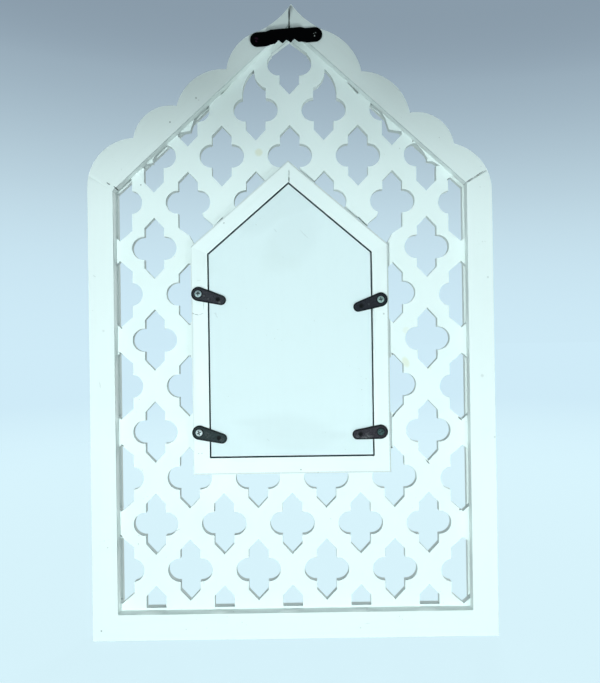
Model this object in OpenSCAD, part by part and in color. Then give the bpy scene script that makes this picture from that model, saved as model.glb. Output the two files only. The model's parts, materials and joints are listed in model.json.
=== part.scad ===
// Wall mirror with a pierced jali lattice in a scalloped jharokha frame.
// The pieces are drawn as seen from the back: x to the right, y up from the underside, depth towards the
// viewer. seat() then stands them up, with the mirror facing -Y and the back facing +Y.
// Left and right are the viewer's own, looking at the back.

/* [Outer frame] */
// Width over the two stiles
frame_w = 355; // [300:1:420]
// Thickness of every frame member, front to back
frame_t = 20; // [18:0.5:30]
// Width of the two stiles
stile_w = 22; // [20:0.5:32]
// Height of the bottom rail
rail_h = 22.5; // [20:0.5:32]
// Height of the left inner corner, at the shoulder
shoulder_y = 394.6; // [385:0.1:430]
// Slope of the arch rails' inner edges, in degrees
arch_slope = 42.5; // [40:0.5:46]
// Distance of the inner apex to the right of the centre line, which lifts the right shoulder
arch_shift = 1.2; // [0:0.1:2]
// Slope of the seam between a stile and its arch rail, in degrees
shoulder_seam = 32; // [24:1:38]
// Gap left by the glue in every mitred seam
glue_gap = 0.25; // [0.15:0.05:0.4]

/* [Scalloped edge] */
// Radius of the rounded shoulders
shoulder_r = 42.5; // [38:0.5:46]
// Distance of the left rail's three notches from the inner apex, along the rail
left_notch_run = [66.6, 120.6, 167.6]; // [40:0.1:185]
// Distance of the left rail's notches from its inner edge
left_notch_out = [9, 15.5, 21]; // [7:0.5:26]
// Distance of the right rail's three notches from the inner apex, along the rail
right_notch_run = [74.9, 130.9, 177.9]; // [40:0.1:190]
// Distance of the right rail's notches from its inner edge
right_notch_out = [11.9, 12.9, 18.4]; // [7:0.1:26]
// Rise of the two middle scallops over their chords
scallop_rise = 10; // [6:0.5:12]
// Rise of the top scallop over its chord
crown_rise = 6.8; // [4:0.2:9]
// Height of the ogee's tip over the inner apex
tip_rise = 18.3; // [16:0.1:26]
// Distance of the tip to the right of the centre line
tip_shift = 3.5; // [0:0.5:5]
// Distance of the arch rails' seam to the left of the tip, at the tip's height
tip_seam_gap = 1.2; // [0.5:0.1:3]
// Half width of the ogee where its curve turns
ogee_half_w = 28; // [22:0.5:32]
// Height of the tip over the turn of the curve
ogee_drop = 23.3; // [20:0.1:26]
// Depth of the ogee's hollow below its chord
ogee_hollow = 2.4; // [1:0.1:4]

/* [Lattice] */
// Thickness of the lattice panel
lattice_t = 6; // [4:0.5:7]
// Depth of the lattice below the back of the frame
lattice_recess = 9; // [8.5:0.5:9.5]
// Depth of the grooves that hold the lattice
groove_d = 5; // [3:0.5:5]
// Clearance between the lattice and each wall of a groove
groove_gap = 0.15; // [0.1:0.05:0.3]
// Clearance between the lattice's edge and the bottom of a groove
groove_end_gap = 0.5; // [0.3:0.1:1]
// Width of the panel's uncut rim, deep in the grooves
rim_w = 1.5; // [1:0.1:1.8]
// Distance between the centres of holes in one row
pitch_x = 60.8; // [58:0.2:64]
// Distance between the centres of holes in one column
pitch_y = 82; // [79:0.5:88]
// Height of the inner apex over the centre of the crown hole, the highest one
crown_drop = 30.2; // [27:0.1:32]
// Distance of the crown hole to the right of the centre line
crown_shift = 1.1; // [-2:0.1:2]
// Clockwise turn of the pierced pattern about the crown hole, in degrees
pattern_turn = 0.4; // [0:0.1:0.8]
// Height of the lattice's strip under the flat feet of the lowest, cut-off holes
foot_strip = 2; // [1:0.1:2.5]
// Half width of a hole's pointed lobes
slot_half_w = 8.8; // [7:0.2:10]
// Half height of a hole
hole_half_h = 27.3; // [25:0.1:29]
// Height of the point on a pointed lobe
point_h = 9.3; // [7:0.1:11]
// Radius of a hole's round lobes
lobe_r = 10.3; // [9:0.1:11.5]
// Distance of a round lobe's centre from the hole's centre
lobe_x = 9.5; // [8:0.1:11]
// Half width of the pointed lobes of the holes that the stiles cut in half
side_slot_half_w = 10.9; // [8:0.1:12]
// Half height of the holes that the stiles cut in half
side_hole_half_h = 29.6; // [26:0.1:31]
// Distance of the holes at the left and the right stile below the rest of the pattern
side_hole_sink = [0, 1.8]; // [0:0.1:3]

/* [Holes under the arch] */
// Extra length of the feet of the holes along the arch rails
long_foot = 5; // [2:0.1:6]
// Distance of the crown hole's eaves outside its round lobes' centres
crown_eave_out = 6.4; // [4:0.1:8]
// Depth of the crown hole's eaves below its round lobes' tops
crown_eave_sink = 0.9; // [0:0.1:3]
// Depth of the crown hole's peak below a whole hole's
crown_peak_sink = 6; // [3:0.1:9]
// Distance of a leaf hole's heel outside its slot
leaf_heel_out = 2.5; // [1:0.1:4]
// Depth of a leaf hole's heel below its round lobes' tops
leaf_heel_sink = 1.2; // [0.5:0.1:3]
// Height of a leaf hole's tip over a whole hole's
leaf_tip_rise = 8.8; // [4:0.1:12]
// Distance of a leaf hole's tip back past the middle of its slot
leaf_tip_back = 1; // [0:0.1:2]
// Distance of a leaf hole's knee outside its slot
leaf_knee_out = 0.4; // [0:0.1:1]
// Depth of a leaf hole's knee below a whole hole's tip
leaf_knee_sink = 8; // [6:0.1:10]
// Rise of a leaf hole's outer edge over its chord
leaf_outer_rise = 3.8; // [2:0.1:5]
// Depth of a leaf hole's inner edge below its chord
leaf_inner_hollow = 3.4; // [2:0.1:4]

/* [Mirror frame] */
// Width over the mirror frame's two stiles
inner_frame_w = 173; // [150:1:190]
// Distance of the mirror frame's middle to the right of the outer frame's
inner_frame_x = -1; // [-3:0.5:3]
// Height of the arch's inner apex over the mirror frame's underside
mirror_drop = 393.9; // [380:0.1:405]
// Height of the mirror frame's outer corners at the shoulders over its underside
inner_stile_h = 200; // [185:0.5:215]
// Slope of the mirror frame's rafters, in degrees
inner_slope = 40.7; // [38:0.5:44]
// Width of the mirror frame's members at the back
member_w = 14.3; // [13:0.1:18]
// Width of the lip that holds the mirror's edge
lip_w = 5; // [3:0.5:8]

/* [Mirror and board] */
// Thickness of the mirror glass
glass_t = 3; // [2:0.5:4]
// Thickness of the backing board
board_t = 4.5; // [3:0.5:6]
// Gap round the backing board and the mirror
board_gap = 1.3; // [0.4:0.1:1.8]
// Gap between the lip, the mirror and the board
bed_gap = 0.1; // [0.05:0.05:0.2]
// Depth of the board's back below the back of the frame
board_sink = 0.3; // [0.1:0.05:0.6]

/* [Turn buttons] */
// Radius of a button's wide end, at the screw
button_big_r = 6.2; // [5:0.1:7]
// Radius of a button's narrow end
button_small_r = 4.3; // [3:0.1:5]
// Distance between the centres of a button's two ends
button_reach = 20.6; // [17:0.1:24]
// Thickness of a button
button_t = 1.3; // [0.8:0.1:2]
// Diameter of the round dent in the narrow end
dent_d = 2.8; // [1.5:0.1:3.5]
// Depth of the dent
dent_depth = 0.6; // [0.3:0.05:0.7]
// Distance of the dent from the screw
dent_x = 17.8; // [14:0.1:19]
// Height of the two upper screws over the mirror frame's underside, left and right
upper_screw_up = [158.3, 151.2]; // [100:0.1:175]
// Height of the two lower screws over the mirror frame's underside, left and right
lower_screw_up = [37, 35.6]; // [27:0.1:80]
// Distance of the upper screws outwards from the middle of their stiles, left and right
upper_screw_off = [0.9, -0.1]; // [-3:0.1:3]
// Distance of the lower screws outwards from the middle of their stiles, left and right
lower_screw_off = [1.6, -1.6]; // [-3:0.1:3]
// Dip of the upper buttons below the horizontal, left and right, in degrees
upper_dip = [16, 17.5]; // [0:0.5:30]
// Dip of the lower buttons below the horizontal, left and right, in degrees
lower_dip = [15.5, 6]; // [0:0.5:30]
// Radial clearance of a button round its screw
button_play = 0.08; // [0.04:0.01:0.1]
// Gap under a button and over it
button_lift = 0.15; // [0.1:0.01:0.25]

/* [Screws] */
// Diameter of the screws' shanks
screw_d = 3; // [2.5:0.1:3.4]
// Length of the screws under the head
screw_len = 9.4; // [7:0.1:10]
// Diameter of the screws' heads
screw_head_d = 5.9; // [5:0.1:7]
// Height of the screws' heads
screw_head_h = 1.9; // [1.4:0.1:2.4]
// Height of the straight edge of the screws' heads
screw_edge_h = 0.85; // [0.5:0.05:1.1]
// Length of the recess in the screws' heads
recess_len = 3.9; // [3:0.1:4.4]
// Width of the slots of the recess
recess_w = 0.8; // [0.6:0.1:1]
// Depth of the recess
recess_d = 0.9; // [0.6:0.1:1.1]
// Length of the screws' points
screw_point_len = 2; // [1:0.1:3]
// Diameter of the blunt end of the screws' points
screw_point_d = 0.6; // [0.4:0.1:1]

/* [Hanger] */
// Length of the sawtooth hanger
hanger_len = 63.5; // [56:0.5:66]
// Width of the hanger
hanger_w = 12.5; // [11:0.5:14]
// Thickness of the hanger's sheet
hanger_t = 1.2; // [0.8:0.1:1.6]
// Height of the hanger's raised middle over its ends
hanger_rise = 2.4; // [1.5:0.1:3]
// Length of the hanger's raised middle
hanger_step = 26; // [22:1:32]
// Length of each slope between the raised middle and a flat end
hanger_ramp = 4.3; // [3:0.1:6]
// Distance between its teeth
tooth_pitch = 7; // [5:0.5:8]
// Depth of the notches between its teeth
tooth_h = 3; // [2:0.2:4]
// Height of the inner apex over the middle of the hanger
hanger_drop = 11.3; // [9:0.1:12]
// Distance of the middle of the hanger to the right of the centre line
hanger_x = -1.1; // [-2:0.1:2]
// Tilt of the hanger, right end up, in degrees
hanger_tilt = 4.35; // [0:0.05:6]
// Distance between the hanger's two nails
nail_spacing = 51.5; // [48:0.5:53]
// Diameter of the hanger's nails
nail_d = 1.8; // [1.4:0.1:2.2]
// Diameter of the nails' heads, underneath
nail_head_d = 4.2; // [3:0.1:5]
// Diameter of the nails' heads, on top
nail_top_d = 3.4; // [2:0.1:4]
// Height of the nails' heads
nail_head_h = 0.9; // [0.5:0.1:1.2]
// Length of the hanger's nails under the head
nail_len = 13; // [8:1:16]

/* [Joint pins] */
// Diameter of the dowels in the outer frame
dowel_d = 6; // [4:0.5:6]
// Length of the dowels
dowel_len = 22; // [16:1:22]
// Distance of a dowel from the inner corner, along its seam
dowel_run = 12.5; // [11:0.5:14]
// Depth of a dowel's centre line below the back of the frame
dowel_depth = 4.3; // [4:0.1:4.5]
// Diameter of the brads in the mirror frame
brad_d = 1.2; // [0.8:0.1:1.6]
// Length of the brads
brad_len = 14; // [12:0.5:15]
// Distance of the lower brads from the mirror frame's corners, along its outer faces
foot_brad_inset = 7; // [6:0.5:8]
// Distance of the brads at its shoulders from the corners
eave_brad_inset = 4; // [3:0.5:4.5]
// Distance of the brad at its apex from the corner
ridge_brad_inset = 7; // [6:0.5:8]
// Radial clearance of dowels, brads, nails and screws in their holes
pin_gap = 0.05; // [0.03:0.01:0.1]

/* [Hidden] */
$fn = 64;

paint = [0.91, 0.97, 0.96];
board_paint = [0.84, 0.93, 0.95];
black_steel = [0.06, 0.06, 0.07];
bright_steel = [0.75, 0.76, 0.74];
bare_wood = [0.78, 0.62, 0.42];
silvering = [0.80, 0.85, 0.88];

back = frame_t / 2;
front = -frame_t / 2;
slack = 1;
inner_hw = frame_w / 2 - stile_w;
apex_y = shoulder_y + (inner_hw + arch_shift) * tan(arch_slope);
apex = [arch_shift, apex_y];
tip = [tip_shift, apex_y + tip_rise];
crown = [crown_shift, apex_y - crown_drop];
foot_cut_y = rail_h + foot_strip;
tongue_d = groove_d - groove_end_gap;
lattice_back = back - lattice_recess;
lattice_front = lattice_back - lattice_t;
inner_outer_hw = inner_frame_w / 2;
inner_foot_y = apex_y - mirror_drop;
inner_shoulder_y = inner_foot_y + inner_stile_h;
inner_apex_y = inner_shoulder_y + inner_outer_hw * tan(inner_slope);
board_front = back - board_sink - board_t;
glass_front = board_front - bed_gap - glass_t;
rabbet_floor = glass_front - bed_gap;
button_seat = back + button_lift;
head_seat = button_seat + button_t + button_lift;
pilot_floor = head_seat - screw_len;
brad_depth = (back + lattice_back) / 2;
column_count = ceil(inner_hw / pitch_x);
row_count = ceil((crown.y - rail_h) / pitch_y);

// A house outline: middle, half width, foot, height of the left eave, roof slope and distance of the ridge
// to the right of the middle, grown all round by grow
function gable(x, hw, foot, eave, slope, shift, grow) =
  let (ridge = eave + (hw + shift) * tan(slope) + grow / cos(slope),
       side = hw + grow)
  [[x - side, foot - grow], [x + side, foot - grow], [x + side, ridge - (side - shift) * tan(slope)],
    [x + shift, ridge], [x - side, ridge - (side + shift) * tan(slope)]];

function frame_opening(grow = 0) =
  gable(0, inner_hw, rail_h, shoulder_y, arch_slope, arch_shift, grow);
function mirror_outline(grow = 0) =
  gable(inner_frame_x, inner_outer_hw, inner_foot_y, inner_shoulder_y, inner_slope, 0, grow);

// A point on an arch rail: side -1 left or 1 right, distance from the inner apex and from the inner edge
function on_rail(side, run, out) =
  apex + [side * (run * cos(arch_slope) + out * sin(arch_slope)),
    out * cos(arch_slope) - run * sin(arch_slope)];
left_notches = [for (i = [0:2]) on_rail(-1, left_notch_run[i], left_notch_out[i])];
right_notches = [for (i = [0:2]) on_rail(1, right_notch_run[i], right_notch_out[i])];
ogee_left = tip - [ogee_half_w, ogee_drop];
ogee_right = tip + [ogee_half_w, -ogee_drop];

// Centre of the rounded shoulder that meets the stile's outer edge and passes through the lowest notch
function shoulder_centre(side, notch) =
  let (x = frame_w / 2 - shoulder_r, across = abs(notch.x) - x)
  [side * x, notch.y - sqrt(shoulder_r * shoulder_r - across * across)];
left_shoulder = shoulder_centre(-1, left_notches[2]);
right_shoulder = shoulder_centre(1, right_notches[2]);

// Points on the arc from p to q, without q. It rises over its chord on the left of that way, and hollows it
// where rise is negative.
arc_steps = 20;
function bow(p, q, rise) =
  let (chord = norm(q - p),
       r = (chord * chord / 4 + rise * rise) / (2 * rise),
       half = asin(chord / (2 * r)),
       turn = bearing(p, q))
  [for (k = [0:arc_steps - 1])
    let (a = 90 + half - 2 * half * k / arc_steps,
         x = chord / 2 + r * cos(a),
         y = rise - r + r * sin(a))
    p + [x * cos(turn) - y * sin(turn), x * sin(turn) + y * cos(turn)]];
function bearing(p, q) = atan2(q.y - p.y, q.x - p.x);

// Points on a rounded shoulder, from one bearing to another
function round_corner(centre, from, to) =
  [for (k = [0:arc_steps])
    let (a = from + (to - from) * k / arc_steps)
    centre + shoulder_r * [cos(a), sin(a)]];

// Corners where the outer frame's seams start and end, each seam from its inner to its outer end. Points 4
// and 2 of the opening's outline are its left and right shoulder.
seam_reach = stile_w + shoulder_r;
function corner(side) = [side * inner_hw, rail_h];
function outer_corner(side) = [side * frame_w / 2, 0];
function shoulder(side) = frame_opening()[side < 0 ? 4 : 2];
function shoulder_end(side) =
  shoulder(side) + seam_reach * [side * cos(shoulder_seam), sin(shoulder_seam)];
apex_end = apex + (tip - [tip_seam_gap, 0] - apex) * 2;
frame_seams = [for (s = [-1, 1]) each [[corner(s), outer_corner(s)], [shoulder(s), shoulder_end(s)]],
  [apex, apex_end]];

// Stands a drawing up, mirror facing -Y
module seat() {
  rotate([90, 0, 180]) children();
}

// Extrudes a drawing between two depths
module slab(from, to) {
  translate([0, 0, from]) linear_extrude(height = to - from) children();
}

// A thin strip along the line from p to q, for a seam
module seam(p, q) {
  translate(p) rotate(bearing(p, q))
    translate([-slack, -glue_gap / 2]) square([norm(q - p) + 2 * slack, glue_gap]);
}

// The outer frame's whole outline, filled: clockwise from the foot of the left stile
module frame_outline() {
  polygon([
    outer_corner(-1),
    each round_corner(left_shoulder, 180, bearing(left_shoulder, left_notches[2])),
    each bow(left_notches[2], left_notches[1], scallop_rise),
    each bow(left_notches[1], left_notches[0], scallop_rise),
    each bow(left_notches[0], ogee_left, crown_rise),
    each bow(ogee_left, tip, -ogee_hollow),
    each bow(tip, ogee_right, -ogee_hollow),
    each bow(ogee_right, right_notches[0], crown_rise),
    each bow(right_notches[0], right_notches[1], scallop_rise),
    each bow(right_notches[1], right_notches[2], scallop_rise),
    each round_corner(right_shoulder, bearing(right_shoulder, right_notches[2]), 0),
    outer_corner(1)]);
}

// One outer frame member: the part of the frame inside a wedge, with its groove for the lattice
module frame_member(wedge) {
  difference() {
    slab(front, back) difference() {
      intersection() {
        frame_outline();
        polygon(wedge);
      }
      polygon(frame_opening());
      for (s = frame_seams) seam(s[0], s[1]);
    }
    slab(lattice_front - groove_gap, lattice_back + groove_gap) polygon(frame_opening(groove_d));
    dowels(dowel_d + 2 * pin_gap, dowel_len + 2 * pin_gap);
    nails(nail_d + 2 * pin_gap, nail_len + pin_gap);
  }
}

module stile(side) {
  far = side * (frame_w / 2 + slack);
  frame_member([outer_corner(side), corner(side), shoulder(side), shoulder_end(side),
    [far + side * seam_reach, shoulder_end(side).y], [far, 0]]);
}

module arch_rail(side) {
  frame_member([apex, shoulder(side), shoulder_end(side), [shoulder_end(side).x, apex_end.y],
    apex_end]);
}

// A dowel lies square across its seam, at a run from the inner corner
module dowels(d, len) {
  for (i = [0:3]) {
    s = frame_seams[i];
    along = (s[1] - s[0]) / norm(s[1] - s[0]);
    at = s[0] + dowel_run * along;
    translate([at.x, at.y, back - dowel_depth])
      rotate([0, 0, atan2(along.y, along.x)]) rotate([90, 0, 0])
        cylinder(d = d, h = len, center = true);
  }
}

// A pointed slot from the hole's centre up, with straight sides, longer by extra
module pointed_lobe(extra = 0, half_w = slot_half_w, half_h = hole_half_h) {
  top = half_h + extra;
  polygon([[-half_w, 0], [half_w, 0], [half_w, top - point_h], [0, top], [-half_w, top - point_h]]);
}

module round_lobes() {
  for (s = [-1, 1]) translate([s * lobe_x, 0]) circle(lobe_r);
}

module lattice_hole(foot_extra = 0) {
  pointed_lobe();
  mirror([0, 1]) pointed_lobe(foot_extra);
  round_lobes();
}

// The holes that the stiles cut in half are larger: side -1 left or 1 right
module side_hole(side, foot_extra) {
  translate([0, -side_hole_sink[side < 0 ? 0 : 1]]) {
    pointed_lobe(0, side_slot_half_w, side_hole_half_h);
    mirror([0, 1]) pointed_lobe(foot_extra, side_slot_half_w, side_hole_half_h);
    round_lobes();
  }
}

// The hole under the apex has a roof over its round lobes
module crown_hole() {
  eave = [lobe_x + crown_eave_out, lobe_r - crown_eave_sink];
  mirror([0, 1]) pointed_lobe();
  round_lobes();
  polygon([[-eave.x, 0], [eave.x, 0], eave, [0, hole_half_h - crown_peak_sink], [-eave.x, eave.y]]);
}

// The holes beside it end in a long bent leaf: side -1 left or 1 right
module leaf_hole(side) {
  heel = [-slot_half_w - leaf_heel_out, lobe_r - leaf_heel_sink];
  leaf_tip = [-leaf_tip_back, hole_half_h + leaf_tip_rise];
  knee = [slot_half_w + leaf_knee_out, hole_half_h - leaf_knee_sink];
  mirror([0, 1]) pointed_lobe();
  round_lobes();
  scale([-side, 1])
    polygon([each bow(heel, leaf_tip, leaf_outer_rise), each bow(leaf_tip, knee, -leaf_inner_hollow),
      knee, [knee.x, 0], [heel.x, 0]]);
}

// The holes along the arch rails have a long foot, and two by each rail leave a web of the panel against
// it. The points are the webs' corners from the hole's centre, drawn for the left rail.
upper_web = [[16.5, 4], [10.7, 0], [5.5, -9], [2.5, -18.5], [-10, -20.3]];
lower_web = [[10.6, 12], [4, 5], [-1, -3], [-1, -6], [-5.8, -6.3], [-14, -11]];

// Takes everything outside the web out of a hole's drawing: side -1 left or 1 right
module webbed_hole(side, web) {
  scale([-side, 1]) difference() {
    lattice_hole(long_foot);
    polygon([each web, [-pitch_x, web[len(web) - 1].y], [-pitch_x, pitch_y], [web[0].x, pitch_y]]);
  }
}

// The holes at the mirror frame's shoulders run out under it: side -1 left or 1 right. The points are
// corners of the run-out, from the hole's centre.
run_out = [[-13.9, -13.5], [-21.2, -19.5], [-24, -26], [-5, -37.4], [-0.5, -29.4]];
module shoulder_hole(side) {
  pointed_lobe();
  round_lobes();
  scale([side, 1]) polygon([[-slot_half_w, 0], each run_out,
    [slot_half_w, point_h - hole_half_h - long_foot], [slot_half_w, 0]]);
}

// Rows in even and odd columns alternate, counted down from the crown hole. A hole whose centre lies in the
// bottom rail has only its pointed top.
module lattice_holes() {
  translate(crown) rotate([0, 0, -pattern_turn])
    for (row = [0:row_count], column = [-column_count:column_count]) {
      side = column < 0 ? -1 : 1;
      x = column * pitch_x;
      y = -row * pitch_y;
      translate([x, y]) {
        if (row == 0 && column == 0) crown_hole();
        else if (row == 1 && abs(column) == 2) webbed_hole(side, lower_web);
        else if (crown.y + y < foot_cut_y) pointed_lobe();
        else lattice_hole();
      }
      translate([x + pitch_x / 2, y - pitch_y / 2]) {
        if (row == 0 && (column == 0 || column == -1)) leaf_hole(side);
        else if (row == 0 && (column == 1 || column == -2)) webbed_hole(side, upper_web);
        else if (row == 1 && (column == 1 || column == -2)) shoulder_hole(side);
        else if (column == 2 || column == -3) side_hole(side, row == 1 ? long_foot : 0);
        else lattice_hole();
      }
    }
}

module jali_panel() {
  color(paint) seat() slab(lattice_front, lattice_back) difference() {
    polygon(frame_opening(tongue_d));
    polygon(mirror_outline(-tongue_d));
    difference() {
      intersection() {
        lattice_holes();
        polygon(frame_opening(tongue_d - rim_w));
      }
      polygon(mirror_outline(rim_w - tongue_d));
      translate([-frame_w / 2, foot_cut_y - frame_w]) square(frame_w);
    }
  }
}

module left_stile() {
  color(paint) seat() stile(-1);
}

module right_stile() {
  color(paint) seat() stile(1);
}

module bottom_rail() {
  color(paint) seat() frame_member([outer_corner(-1), outer_corner(1), corner(1), corner(-1)]);
}

module left_arch_rail() {
  color(paint) seat() arch_rail(-1);
}

module right_arch_rail() {
  color(paint) seat() arch_rail(1);
}

// Seams of the mirror frame, from the board's recess to the outside
mirror_inner = mirror_outline(-member_w);
mirror_outer = mirror_outline();
mirror_sight = mirror_outline(-member_w - lip_w);

// One mirror frame member: the part between the outline's corners i and j
module mirror_member(i, j) {
  difference() {
    slab(front, back) difference() {
      polygon([mirror_outer[i], mirror_outer[j], mirror_sight[j], mirror_sight[i]]);
      for (k = [0:4]) seam(mirror_sight[k], mirror_outer[k]);
    }
    slab(rabbet_floor, back + slack) polygon(mirror_inner);
    slab(lattice_front - groove_gap, lattice_back + groove_gap) difference() {
      polygon(mirror_outline(slack));
      polygon(mirror_outline(-groove_d));
    }
    brads(brad_d + 2 * pin_gap, brad_len + pin_gap, slack);
    for (k = [0:3]) place_button(k) translate([0, 0, pilot_floor - pin_gap])
      cylinder(d = screw_d + 2 * pin_gap, h = frame_t);
  }
}

// Each brad is driven squarely into one member's outer face and across a seam. For each: the seam's corner
// of the outline, the corner at the face's other end, the inset from the first and the side it is driven to.
brad_runs = [[0, 4, foot_brad_inset, -1], [1, 2, foot_brad_inset, 1], [2, 3, eave_brad_inset, 1],
  [4, 3, eave_brad_inset, -1], [3, 4, ridge_brad_inset, 1]];

// lead is how far they stand out of the face
module brads(d, len, lead = 0) {
  for (b = brad_runs) {
    from = mirror_outer[b[0]];
    to = mirror_outer[b[1]];
    at = from + b[2] * (to - from) / norm(to - from);
    translate([at.x, at.y, brad_depth]) rotate([0, 0, bearing(from, to) + b[3] * 90])
      rotate([0, 90, 0]) translate([0, 0, -lead]) cylinder(d = d, h = len + lead);
  }
}

module mirror_sill() {
  color(paint) seat() mirror_member(0, 1);
}

module mirror_right_stile() {
  color(paint) seat() mirror_member(1, 2);
}

module mirror_right_rafter() {
  color(paint) seat() mirror_member(2, 3);
}

module mirror_left_rafter() {
  color(paint) seat() mirror_member(3, 4);
}

module mirror_left_stile() {
  color(paint) seat() mirror_member(4, 0);
}

module mirror_glass() {
  color(silvering) seat() slab(glass_front, glass_front + glass_t)
    polygon(mirror_outline(-member_w - board_gap));
}

module backing_board() {
  color(board_paint) seat() slab(board_front, board_front + board_t)
    polygon(mirror_outline(-member_w - board_gap));
}

// Screws 0 upper left, 1 upper right, 2 lower left, 3 lower right: side, height, offset and dip
screw_side = [-1, 1, -1, 1];
screw_up = concat(upper_screw_up, lower_screw_up);
screw_off = concat(upper_screw_off, lower_screw_off);
screw_dip = concat(upper_dip, lower_dip);
// Turn of each screw's recess, and its number of slots
screw_turn = [20, -8, 38, 12];
screw_slots = [2, 2, 2, 1];

// Puts a button's drawing at its screw, pointing from the stile over the board
module place_button(i) {
  side = screw_side[i];
  translate([inner_frame_x + side * (inner_outer_hw - member_w / 2 + screw_off[i]),
    inner_foot_y + screw_up[i]])
    rotate([0, 0, side < 0 ? -screw_dip[i] : 180 + screw_dip[i]]) children();
}

// A pear outline: an arc round each end and the two tangents between them
module pear() {
  lean = acos((button_big_r - button_small_r) / button_reach);
  polygon([
    for (k = [0:arc_steps]) let (a = lean + k * (360 - 2 * lean) / arc_steps)
      button_big_r * [cos(a), sin(a)],
    for (k = [0:arc_steps]) let (a = -lean + k * 2 * lean / arc_steps)
      [button_reach, 0] + button_small_r * [cos(a), sin(a)]]);
}

module turn_button(i) {
  top = button_seat + button_t;
  color(black_steel) seat() place_button(i) difference() {
    slab(button_seat, top) difference() {
      pear();
      circle(d = screw_d + 2 * button_play);
    }
    translate([dent_x, 0, top - dent_depth]) cylinder(d = dent_d, h = slack);
  }
}

module upper_left_button() {
  turn_button(0);
}

module upper_right_button() {
  turn_button(1);
}

module lower_left_button() {
  turn_button(2);
}

module lower_right_button() {
  turn_button(3);
}

// A pan head screw with a pointed end, its head's underside at height 0
module screw(slots) {
  head_r = screw_head_d / 2;
  dome_h = screw_head_h - screw_edge_h;
  dome_r = (head_r * head_r + dome_h * dome_h) / (2 * dome_h);
  difference() {
    union() {
      intersection() {
        cylinder(r = head_r, h = screw_head_h);
        translate([0, 0, screw_head_h - dome_r]) sphere(dome_r);
      }
      translate([0, 0, screw_point_len - screw_len])
        cylinder(d = screw_d, h = screw_len - screw_point_len);
      translate([0, 0, -screw_len])
        cylinder(d1 = screw_point_d, d2 = screw_d, h = screw_point_len);
    }
    for (k = [0:slots - 1]) rotate([0, 0, 90 * k])
      translate([0, 0, screw_head_h]) cube([recess_len, recess_w, 2 * recess_d], center = true);
  }
}

module button_screws() {
  color(bright_steel) seat() for (i = [0:3])
    place_button(i) translate([0, 0, head_seat]) rotate([0, 0, screw_turn[i]]) screw(screw_slots[i]);
}

// Puts a drawing at the middle of the hanger, on the frame's back
module place_hanger() {
  translate([hanger_x, apex_y - hanger_drop]) rotate([0, 0, hanger_tilt]) children();
}

// The nails' heads bear on the hanger, and their shanks reach into the two arch rails
module nails(d, len) {
  place_hanger() for (s = [-1, 1])
    translate([s * nail_spacing / 2, 0, back + hanger_t + button_lift - len]) cylinder(d = d, h = len);
}

// The hanger's outline: round ends, and a row of teeth in the middle of its lower edge
module hanger_outline() {
  end_r = hanger_w / 2;
  straight = hanger_len - hanger_w;
  foot = -end_r;
  difference() {
    union() {
      square([straight, hanger_w], center = true);
      for (s = [-1, 1]) translate([s * straight / 2, 0]) circle(end_r);
    }
    for (k = [-1:1]) translate([k * tooth_pitch, foot])
      polygon([[-tooth_pitch / 2, 0], [-tooth_pitch / 2, -slack], [tooth_pitch / 2, -slack],
        [tooth_pitch / 2, 0], [0, tooth_h]]);
    for (s = [-1, 1]) translate([s * nail_spacing / 2, 0]) circle(d = nail_d + 2 * pin_gap);
  }
}

// The hanger's sheet seen along its width: flat ends and a raised middle
module hanger_side_view() {
  end_x = hanger_len / 2 + slack;
  top_x = hanger_step / 2;
  foot_x = top_x + hanger_ramp;
  polygon([[-end_x, 0], [-foot_x, 0], [-top_x, hanger_rise], [top_x, hanger_rise], [foot_x, 0],
    [end_x, 0], [end_x, hanger_t], [foot_x, hanger_t], [top_x, hanger_rise + hanger_t],
    [-top_x, hanger_rise + hanger_t], [-foot_x, hanger_t], [-end_x, hanger_t]]);
}

module sawtooth_hanger() {
  color(black_steel) seat() place_hanger() translate([0, 0, back + bed_gap]) intersection() {
    linear_extrude(height = hanger_rise + hanger_t) hanger_outline();
    translate([0, hanger_w, 0]) rotate([90, 0, 0])
      linear_extrude(height = 2 * hanger_w) hanger_side_view();
  }
}

module hanger_nails() {
  color(black_steel) seat() {
    nails(nail_d, nail_len);
    place_hanger() for (s = [-1, 1])
      translate([s * nail_spacing / 2, 0, back + hanger_t + button_lift])
        cylinder(d1 = nail_head_d, d2 = nail_top_d, h = nail_head_h);
  }
}

module frame_dowels() {
  color(bare_wood) seat() dowels(dowel_d, dowel_len);
}

module mirror_frame_brads() {
  color(bright_steel) seat() brads(brad_d, brad_len);
}

left_stile();
right_stile();
bottom_rail();
left_arch_rail();
right_arch_rail();
jali_panel();
mirror_left_stile();
mirror_right_stile();
mirror_sill();
mirror_left_rafter();
mirror_right_rafter();
mirror_glass();
backing_board();
upper_left_button();
upper_right_button();
lower_left_button();
lower_right_button();
button_screws();
sawtooth_hanger();
hanger_nails();
frame_dowels();
mirror_frame_brads();
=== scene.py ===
import json
import math
from typing import NamedTuple

import bmesh
import bpy
from mathutils import Matrix, Vector
from mathutils.kdtree import KDTree


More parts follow.
